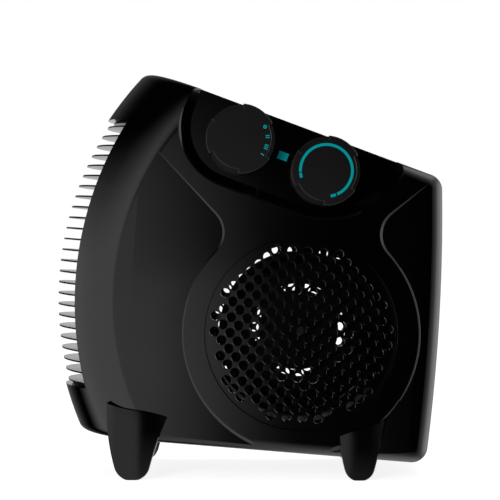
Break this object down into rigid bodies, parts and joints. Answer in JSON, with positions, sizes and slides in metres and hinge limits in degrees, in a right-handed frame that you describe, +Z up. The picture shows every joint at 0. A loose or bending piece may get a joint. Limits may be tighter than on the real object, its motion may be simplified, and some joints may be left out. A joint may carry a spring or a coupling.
{
  "type": "ceramic space heater",
  "caption": "Black fan heater with a curved finned outlet nose, round perforated inlets, two rotary knobs on a sloping panel and paddle feet.",
  "frame": {"origin": "on the ground under the middle of the standing heater's bounding box", "axes": "+Z up as it stands on its feet, outlet to -X, controls to -Y"},
  "size_m": [0.2546, 0.1274, 0.267],
  "materials": {
    "case_plastic": "satin black",
    "grille_plastic": "satin black",
    "fin_plastic": "glossy black",
    "panel_plastic": "glossy black",
    "knob_plastic": "satin black with teal marks",
    "foot_plastic": "satin black",
    "inner_plastic": "dark grey",
    "wheel_plastic": "grey",
    "lens_plastic": "teal, translucent",
    "lamp_glass": "clear",
    "pad_rubber": "matt black",
    "steel": "zinc plated",
    "iron": "laminated iron",
    "winding_copper": "enamelled copper, filed under brass",
    "cap_aluminium": "die cast",
    "fin_aluminium": "bright sheet",
    "brass": "plain",
    "stone_ceramic": "dark grey ceramic",
    "terminal_plastic": "white"
  },
  "bodies": {
    "case": {"control_side_cover": "case_plastic", "plain_side_cover": "case_plastic", "case_screws": "steel", "rest_pads": "pad_rubber", "control_side_inlet_grille": "grille_plastic", "plain_side_inlet_grille": "grille_plastic", "outlet_grille": "fin_plastic", "control_panel": "panel_plastic", "selector_switch": "inner_plastic", "thermostat": "inner_plastic", "thermostat_strip": "brass", "pilot_lens": "lens_plastic", "pilot_lamp": "lamp_glass", "control_side_front_foot": "foot_plastic", "control_side_rear_foot": "foot_plastic", "plain_side_front_foot": "foot_plastic", "plain_side_rear_foot": "foot_plastic", "foot_screws": "steel", "control_side_scroll": "inner_plastic", "plain_side_scroll": "inner_plastic", "motor_stator": "iron", "motor_windings": "winding_copper", "motor_front_cap": "cap_aluminium", "motor_rear_cap": "cap_aluminium", "motor_bearings": "brass", "motor_bolts": "steel", "motor_bracket": "inner_plastic", "heater_frame": "inner_plastic", "ceramic_stones": "stone_ceramic", "heater_fins": "fin_aluminium", "thermal_cutout": "steel", "thermal_fuse": "cap_aluminium", "terminal_block": "terminal_plastic", "terminal_screws": "brass", "cord_gland": "pad_rubber"},
    "selector": {"selector_knob": "knob_plastic", "selector_spindle": "steel"},
    "thermostat_dial": {"thermostat_knob": "knob_plastic", "thermostat_spindle": "steel"},
    "blower_wheel": {"impeller": "wheel_plastic", "impeller_nut": "wheel_plastic", "motor_shaft": "steel", "motor_rotor": "steel"}
  },
  "joints": [
    {"name": "selector_turn", "type": "hinge", "parent": "case", "child": "selector", "pos_m": [-0.00348, -0.05375, 0.22028], "axis": [0, -1, 0], "range_deg": [-45, 18]},
    {"name": "thermostat_turn", "type": "hinge", "parent": "case", "child": "thermostat_dial", "pos_m": [0.05122, -0.05375, 0.19983], "axis": [0, -1, 0], "range_deg": [-33, 243]},
    {"name": "blower_spin", "type": "hinge", "parent": "case", "child": "blower_wheel", "pos_m": [0.03537, 0.00375, 0.09485], "axis": [0, -1, 0], "continuous": true}
  ]
}
